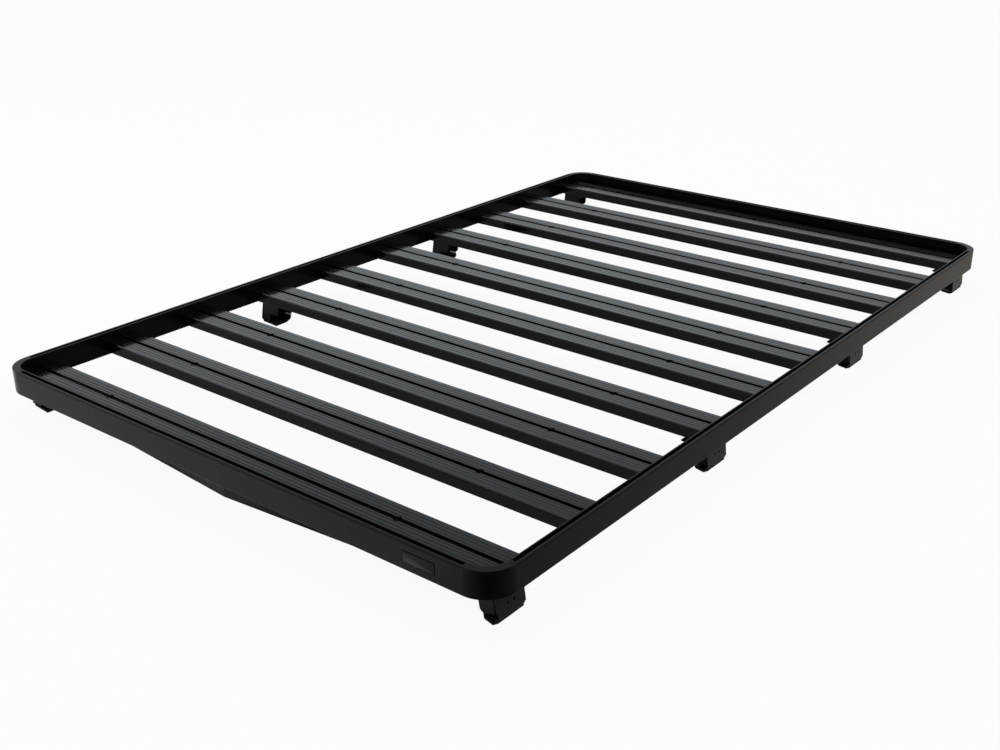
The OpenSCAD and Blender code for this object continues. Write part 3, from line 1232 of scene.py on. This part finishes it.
@dataclass
class RailPlate:
    """The small bare plate on the front rail's outer face, in millimetres."""

    sizes: RackSizes
    seat: PlateSeat
    plate: bpy.types.Material
    gap_shadow_coat: bpy.types.Material
    room: float = 1.5
    offset: float = 0.7
    thickness: float = 0.5
    # The film is that sheet: a painted shadow in the gap around the plate, reaching most of the way
    # across the gap.
    film: float = 0.1
    film_share: float = 0.9
    corner: float = 1.5
    corner_steps: int = 6
    bevel: float = 0.08

    def slab(self, name: str, material: bpy.types.Material, grow: float, aside: float,
             back: float, front: float) -> None:
        """Makes a thin plate with round corners and a bevelled rim.

        Args:
            name: The piece's name.
            material: Its material.
            grow: How far it reaches past the plate's outline, in mm.
            aside: How far it sits down and left of the middle of the seat, in mm.
            back: Its rear face's distance behind the rail's face, in mm.
            front: Its front face's distance behind the rail's face, in mm.
        """
        face = -self.sizes.length / 2
        right = self.sizes.width / 2 - self.seat.side - self.room - aside
        left = right - self.seat.width + 2 * self.room
        high = self.sizes.height - self.seat.top - self.room - aside
        low = high - self.seat.height + 2 * self.room
        rings = []
        for inset, depth in ((0.0, back), (0.0, front + self.bevel), (-self.bevel, front)):
            ring, radius = [], self.corner + grow + inset
            for turn, (across, up) in enumerate(((1, 1), (-1, 1), (-1, -1), (1, -1))):
                middle_x = (right if across > 0 else left) - across * self.corner
                middle_z = (high if up > 0 else low) - up * self.corner
                for step in range(self.corner_steps + 1):
                    angle = math.pi / 2 * (turn + step / self.corner_steps)
                    ring.append(Vector((middle_x + radius * math.cos(angle), face + depth,
                                        middle_z + radius * math.sin(angle))) * MM)
            rings.append(ring)
        shape = Shape()
        shape.closed(rings)
        shape.piece(name, material, PLATE_SMOOTH_DEG)

    def build(self) -> None:
        """Makes the plate in its seat, and under it a near-black, barely glossy sheet that paints
        the shadow in the gap around the plate.
        """
        floor = self.seat.depth
        back = floor - self.film
        self.slab("rail_plate_painted_shadow", self.gap_shadow_coat, self.room * self.film_share, 0.0, floor, back)
        self.slab("rail_plate", self.plate, 0.0, self.offset, back, back - self.thickness)


@dataclass(frozen=True)
class SoftLamp:
    """A square soft lamp, in metres and watts."""

    name: str
    place: tuple[float, float, float]
    size: float
    watts: float

    def build(self, target: Vector) -> None:
        """Makes the lamp.

        Args:
            target: What it points at.
        """
        light = bpy.data.lights.new(self.name, "AREA")
        light.shape = "SQUARE"
        light.size = self.size
        light.energy = self.watts
        item = linked(self.name, light)
        item.location = self.place
        item.rotation_mode = "QUATERNION"
        item.rotation_quaternion = (target - Vector(self.place)).to_track_quat("-Z", "Y")
        LOG.info("lamp %s", self.name)


@dataclass
class Studio:
    """Floor, lamps, world and camera, in metres.

    The world and the floor light the rack evenly. A ray that the coat mirrors meets other
    tones there, a band of light in the sky and painted shade on the floor, which give the coat its
    highlights and its dark faces.
    """

    camera_place: tuple[float, float, float] = (1.5823, -2.1400, 1.0713)
    azimuth_deg: float = -38.086
    pitch_deg: float = 23.552
    roll_deg: float = 0.012
    lens: float = 45.02
    shift: tuple[float, float] = (-0.0187, -0.0002)
    sensor_width: float = 36.0
    clip: tuple[float, float] = (0.05, 100.0)
    floor_half: float = 30.0
    floor_gap: float = 0.0004
    floor_grey: float = 0.86
    glow_share: float = 0.93
    diffuse_level: float = 0.65
    lamps: tuple[SoftLamp, ...] = (
        SoftLamp("overhead_lamp", (-0.6, 0.4, 3.6), 3.2, 24.0),
        SoftLamp("left_lamp", (-3.6, -1.6, 2.2), 2.0, 14.4))
    lit_place: tuple[float, float, float] = (0.0, 0.0, 0.08)
    # Painted shade in the floor's glow that glossy rays see: a painted shadow under the rack (under
    # tone), painted shade over the floor right of the rack, lighter towards the rear and tinted
    # warm (right tones and tint), darkest from the front right corner forward (corner tone). Away
    # from the rack the glow has the even open tone.
    open_tone: float = 0.85
    under_shadow_tone: float = 0.21
    under_x: tuple[float, float] = (-0.76, 0.62)
    under_y: tuple[float, float] = (-0.97, 1.06)
    under_edge: float = 0.03
    right_x: tuple[float, float] = (0.42, 0.66)
    right_y: tuple[float, float] = (-1.0, 1.0)
    right_shade_front_tone: float = 0.30
    right_shade_rear_tone: float = 0.53
    right_shade_tint: Colour = (1.08, 1.0, 0.91)
    corner_y: tuple[float, float] = (-1.06, -0.84)
    corner_shade_tone: float = 0.25
    panel_azimuth_deg: float = -38.0
    panel_rise: float = 0.35
    panel_half_width: float = 0.38
    panel_half_height: float = 0.08
    panel_level: float = 1.35
    around_level: float = 0.5
    band_share: float = 0.36
    sky_tint: Colour = (0.86, 0.92, 0.97)

    @staticmethod
    def soft_edge(tree: NodeTree, value: bpy.types.NodeSocket) -> bpy.types.NodeSocket:
        """Makes a bell-shaped falloff.

        Args:
            tree: The tree to build in.
            value: The distance from the middle, as a share of the half width.

        Returns:
            The falloff's socket, 1 in the middle.
        """
        squared = tree.math("MULTIPLY", value, value)
        return tree.math("POWER", math.e, tree.math("MULTIPLY", squared, -1.0))

    def mirrored_sky(self, tree: NodeTree) -> bpy.types.NodeSocket:
        """Builds what the coat mirrors above the rack: a soft band of light in dimmer grey.

        The band runs all round at one height, and it is brightest along the camera's line.

        Args:
            tree: The world's tree.

        Returns:
            The colour's socket.
        """
        azimuth = math.radians(self.panel_azimuth_deg)
        beside = (math.cos(azimuth), -math.sin(azimuth), 0.0)
        way = tree.add("ShaderNodeTexCoord").outputs["Generated"]
        across = tree.math("DIVIDE", tree.dot(way, beside), self.panel_half_width)
        rise = tree.math("SUBTRACT", tree.dot(way, (0.0, 0.0, 1.0)), self.panel_rise)
        up = tree.math("DIVIDE", rise, self.panel_half_height)
        panel = tree.math("MAXIMUM", self.soft_edge(tree, across), self.band_share)
        shown = tree.math("MULTIPLY", panel, self.soft_edge(tree, up))
        dim = tuple(self.around_level * part for part in self.sky_tint)
        bright = tuple(self.panel_level * part for part in self.sky_tint)
        return tree.mix_colour(shown, rgba(dim), rgba(bright))

    def world(self) -> None:
        """Makes a white background for camera rays and clear surfaces, a grey light for the other
        rays, and a sky with a soft band of light that glossy surfaces show.
        """
        world = bpy.data.worlds.new("pale_studio")
        bpy.context.scene.world = world
        tree = empty_tree(world)
        path = tree.add("ShaderNodeLightPath")
        grey = (self.diffuse_level,) * 3
        plain = tree.mix_colour(self.seen(tree, path), rgba(grey), WHITE)
        back = tree.add("ShaderNodeBackground")
        tree.join(tree.mix_colour(path.outputs["Is Glossy Ray"], plain, self.mirrored_sky(tree)),
                  back.inputs["Color"])
        end = tree.add("ShaderNodeOutputWorld")
        tree.join(back.outputs[0], end.inputs["Surface"])
        LOG.info("world")

    @staticmethod
    def seen(tree: NodeTree, path: bpy.types.Node) -> bpy.types.NodeSocket:
        """Tells the rays that look straight at the studio, also through something clear.

        Args:
            tree: The tree to build in.
            path: Its light path node.

        Returns:
            The mask's socket.
        """
        return tree.math("MAXIMUM", path.outputs["Is Camera Ray"],
                         path.outputs["Is Transmission Ray"])

    def between(self, tree: NodeTree, value: bpy.types.NodeSocket, ends: tuple[float, float]
                ) -> bpy.types.NodeSocket:
        """Masks a range of places, with a short soft edge inside it.

        Args:
            tree: The tree to build in.
            value: The place's socket.
            ends: Where the range starts and ends.

        Returns:
            The mask's socket, 1 inside.
        """
        start, end = ends
        after = tree.span(value, start, start + self.under_edge)
        before = tree.span(value, end - self.under_edge, end, 1.0, 0.0)
        return tree.math("MULTIPLY", after, before)

    def mirrored_painted_shade(self, tree: NodeTree) -> bpy.types.Node:
        """Builds what the coat mirrors below: the floor's glow with a painted shadow under the rack
        and warm painted shade over the floor right of it, darkest from the front right corner
        forward.

        Args:
            tree: The floor's tree.

        Returns:
            The node with the tone as a colour.
        """
        place = tree.add("ShaderNodeSeparateXYZ")
        tree.join(tree.add("ShaderNodeNewGeometry").outputs["Position"], place.inputs[0])
        across = self.between(tree, place.outputs["X"], self.under_x)
        along = self.between(tree, place.outputs["Y"], self.under_y)
        # painted shadow of the rack in the glossy floor: the under tone inside its footprint
        under = tree.math("MULTIPLY", across, along)
        # painted shade right of the rack: darker towards the front, darkest from the front right
        # corner forward, tinted warm
        ramp = tree.span(place.outputs["Y"], *self.right_y, self.right_shade_front_tone,
                         self.right_shade_rear_tone)
        by_corner = tree.span(place.outputs["Y"], *self.corner_y, self.corner_shade_tone, 1.0)
        right = tree.math("MULTIPLY", ramp, by_corner)
        beside = tree.span(place.outputs["X"], *self.right_x)
        tone = tree.add("ShaderNodeCombineColor")
        for index, tint in enumerate(self.right_shade_tint):
            warm = tree.math("MULTIPLY", right, tint)
            outside = tree.span(beside, 0.0, 1.0, self.open_tone, warm)
            level = tree.span(under, 0.0, 1.0, outside, self.under_shadow_tone)
            tree.join(level, tone.inputs[index])
        return tone

    def floor(self) -> None:
        """Makes a pale floor that keeps the object's shadow, and is clear from below. Glossy rays
        see only its glow, which holds painted shade instead of the real shadow.
        """
        material = bpy.data.materials.new("pale_floor")
        tree = empty_tree(material)
        path = tree.add("ShaderNodeLightPath")
        mirrored = path.outputs["Is Glossy Ray"]
        glow = tree.add("ShaderNodeEmission")
        tree.join(tree.mix_colour(mirrored, WHITE, self.mirrored_painted_shade(tree).outputs[0]),
                  glow.inputs["Color"])
        matt = tree.add("ShaderNodeBsdfDiffuse")
        matt.inputs["Color"].default_value = rgba((self.floor_grey,) * 3)
        shown = tree.math("MULTIPLY", self.seen(tree, path), self.glow_share)
        # glossy rays see only the glow, with its painted shade; camera rays see mostly white glow
        # over the matt floor, and other rays the matt floor
        top = tree.mix_shader(tree.math("MAXIMUM", shown, mirrored), matt, glow)
        sides = tree.mix_shader(tree.add("ShaderNodeNewGeometry").outputs["Backfacing"], top,
                                tree.add("ShaderNodeBsdfTransparent"))
        end = tree.add("ShaderNodeOutputMaterial")
        tree.join(sides.outputs[0], end.inputs["Surface"])
        half, low = self.floor_half, -self.floor_gap
        mesh = bpy.data.meshes.new("floor")
        mesh.from_pydata([(-half, -half, low), (half, -half, low), (half, half, low),
                          (-half, half, low)], [], [(0, 1, 2, 3)])
        mesh.materials.append(material)
        linked("floor", mesh)
        LOG.info("floor")

    def camera(self) -> None:
        """Makes the camera at the photograph's viewing angle."""
        azimuth, pitch = math.radians(self.azimuth_deg), math.radians(self.pitch_deg)
        ahead = Vector((math.sin(azimuth) * math.cos(pitch),
                        math.cos(azimuth) * math.cos(pitch), -math.sin(pitch)))
        across = Vector((math.cos(azimuth), -math.sin(azimuth), 0.0))
        down = ahead.cross(across)
        roll = math.radians(self.roll_deg)
        right = math.cos(roll) * across + math.sin(roll) * down
        below = -math.sin(roll) * across + math.cos(roll) * down
        turn = Matrix((right, -below, -ahead)).transposed()
        data = bpy.data.cameras.new("camera")
        data.sensor_width = self.sensor_width
        data.lens = self.lens
        data.shift_x, data.shift_y = self.shift
        data.clip_start, data.clip_end = self.clip
        camera = linked("camera", data)
        camera.matrix_world = Matrix.Translation(self.camera_place) @ turn.to_4x4()
        bpy.context.scene.camera = camera
        LOG.info("camera")

    def build(self) -> None:
        """Makes the whole studio."""
        bpy.context.scene.view_settings.view_transform = "Standard"
        self.world()
        self.floor()
        for lamp in self.lamps:
            lamp.build(Vector(self.lit_place))
        self.camera()


def main() -> None:
    """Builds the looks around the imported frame."""
    logging.basicConfig(level=logging.INFO, format="%(name)s: %(message)s")
    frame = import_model()
    groups = EffectGroups()
    sizes = RackSizes()
    finish = FrameFinish(frame["nodes"], groups)
    finish.apply()
    seat = PlateSeat()
    RailBars(sizes, seat, finish.cross_coat, finish.side_coat).build()
    SlatBars(sizes, finish.made[Family.SLAT]).build()
    black_zinc = Metal("black_zinc", (0.10, 0.10, 0.11), 0.35).build(groups)
    brushed = Metal("brushed_plate", (0.032, 0.032, 0.033), 0.42, Along.ACROSS).build(groups)
    # A near-black, barely glossy sheet under the plate, which paints the shadow in the gap around
    # it.
    film = MouldedRubber("plate_painted_shadow", (0.0015, 0.0015, 0.0015), 0.6, specular=0.02,
                         dust=0.0).build(groups)
    LegFixings(sizes, black_zinc).build()
    DeflectorFixings(sizes, black_zinc).build()
    RailPlate(sizes, seat, brushed, film).build()
    Studio().build()
    bpy.context.view_layer.update()


if __name__ == "__main__":
    main()
